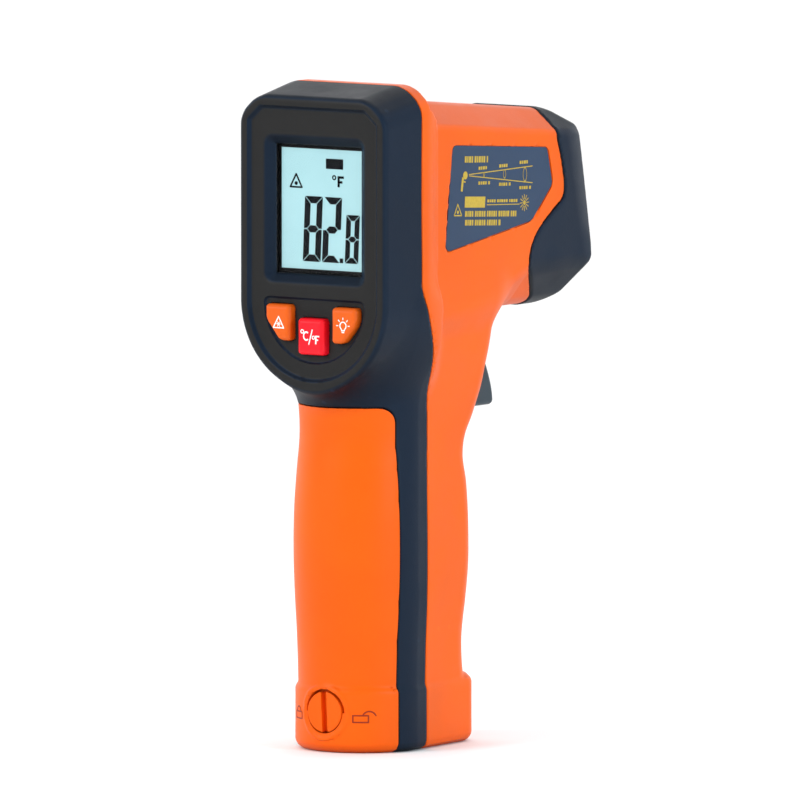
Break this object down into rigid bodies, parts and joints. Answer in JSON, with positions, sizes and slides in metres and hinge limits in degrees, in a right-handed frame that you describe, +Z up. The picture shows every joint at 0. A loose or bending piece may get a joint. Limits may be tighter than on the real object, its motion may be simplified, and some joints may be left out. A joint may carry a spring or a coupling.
{
  "type": "infrared thermometer",
  "caption": "Pistol-grip infrared thermometer with a rear display and keys, a pull trigger, a nose with sensor port and laser, and a pull-off battery cover with a coin lock.",
  "frame": {"origin": "on the foot's flat underside, on the centre plane, under the dark frame's strips", "axes": "+Z up, +Y the way the nose points, +X to the user's right"},
  "size_m": [0.044, 0.0932, 0.1581],
  "materials": {
    "orange_plastic": "fine moulded texture, satin",
    "dark_plastic": "fine moulded texture, satin",
    "black_plastic": "matt",
    "trigger_plastic": "satin",
    "light_plastic": "smooth",
    "key_orange": "smooth",
    "key_red": "smooth",
    "label_film": "printed film",
    "keypad_rubber": "soft matt",
    "carbon": "matt",
    "clear_window": "clear, polished",
    "display_glass": "satin behind a polariser",
    "lens_glass": "dark infrared lens",
    "laser_glass": "red tint",
    "aluminium": "turned",
    "brass_parts": "turned",
    "steel": "plated",
    "board_green": "solder mask",
    "cell_can": "printed sleeve"
  },
  "bodies": {
    "housing": {"rear_frame": "dark_plastic", "housing_right": "orange_plastic", "housing_left": "orange_plastic", "nose_bumper": "dark_plastic", "label_right": "label_film", "label_left": "label_film", "port_cone": "black_plastic", "ir_lens": "lens_glass", "lens_ring": "black_plastic", "optic_tube": "aluminium", "thermopile_sensor": "steel", "sensor_pins": "brass_parts", "sensor_board": "board_green", "laser_module": "brass_parts", "laser_window": "laser_glass", "trigger_pin": "steel", "trigger_spring": "steel", "trigger_switch": "black_plastic", "keypad_mat": "keypad_rubber", "key_contacts": "carbon", "display_window": "clear_window", "display_panel": "display_glass", "display_frame": "light_plastic", "backlight": "light_plastic", "contact_strip": "keypad_rubber", "main_board": "board_green", "board_screws": "steel", "controller_chip": "black_plastic", "buzzer": "black_plastic", "battery_tray": "black_plastic", "battery_left": "cell_can", "battery_right": "cell_can", "bridge_contact": "steel", "plus_contact": "steel", "minus_contact": "steel", "housing_screws": "steel"},
    "trigger": {"trigger": "trigger_plastic"},
    "plunger": {"switch_plunger": "light_plastic"},
    "laser_key": {"key_laser": "key_orange"},
    "units_key": {"key_units": "key_red"},
    "light_key": {"key_light": "key_orange"},
    "cover": {"battery_cover": "orange_plastic"},
    "lock": {"cover_lock": "orange_plastic", "lock_clip": "steel"}
  },
  "joints": [
    {"name": "trigger_pull", "type": "hinge", "parent": "housing", "child": "trigger", "pos_m": [0, 0.034, 0.1005], "axis": [-1, 0, 0], "range_deg": [0, 10], "stiffness_Nm_per_rad": 0.15, "springref_deg": -5.73, "deforming": ["trigger_spring"]},
    {"name": "switch_press", "type": "slide", "parent": "housing", "child": "plunger", "axis": [0, -1, 0], "range_m": [0, 0.0021]},
    {"name": "key_laser_press", "type": "slide", "parent": "housing", "child": "laser_key", "axis": [0, 1, 0], "range_m": [0, 0.001], "stiffness_N_per_m": 300, "springref_m": -0.0003},
    {"name": "key_units_press", "type": "slide", "parent": "housing", "child": "units_key", "axis": [0, 1, 0], "range_m": [0, 0.001], "stiffness_N_per_m": 300, "springref_m": -0.0003},
    {"name": "key_light_press", "type": "slide", "parent": "housing", "child": "light_key", "axis": [0, 1, 0], "range_m": [0, 0.001], "stiffness_N_per_m": 300, "springref_m": -0.0003},
    {"name": "cover_release", "type": "slide", "parent": "housing", "child": "cover", "axis": [0, -1, 0], "range_m": [0, 0.04]},
    {"name": "lock_turn", "type": "hinge", "parent": "cover", "child": "lock", "pos_m": [0, -0.0072, 0.0096], "axis": [0, -1, 0], "range_deg": [0, 90]}
  ],
  "couplings": [
    {"joint": "switch_press", "follows": "trigger_pull", "m_per_rad": 0.012}
  ]
}
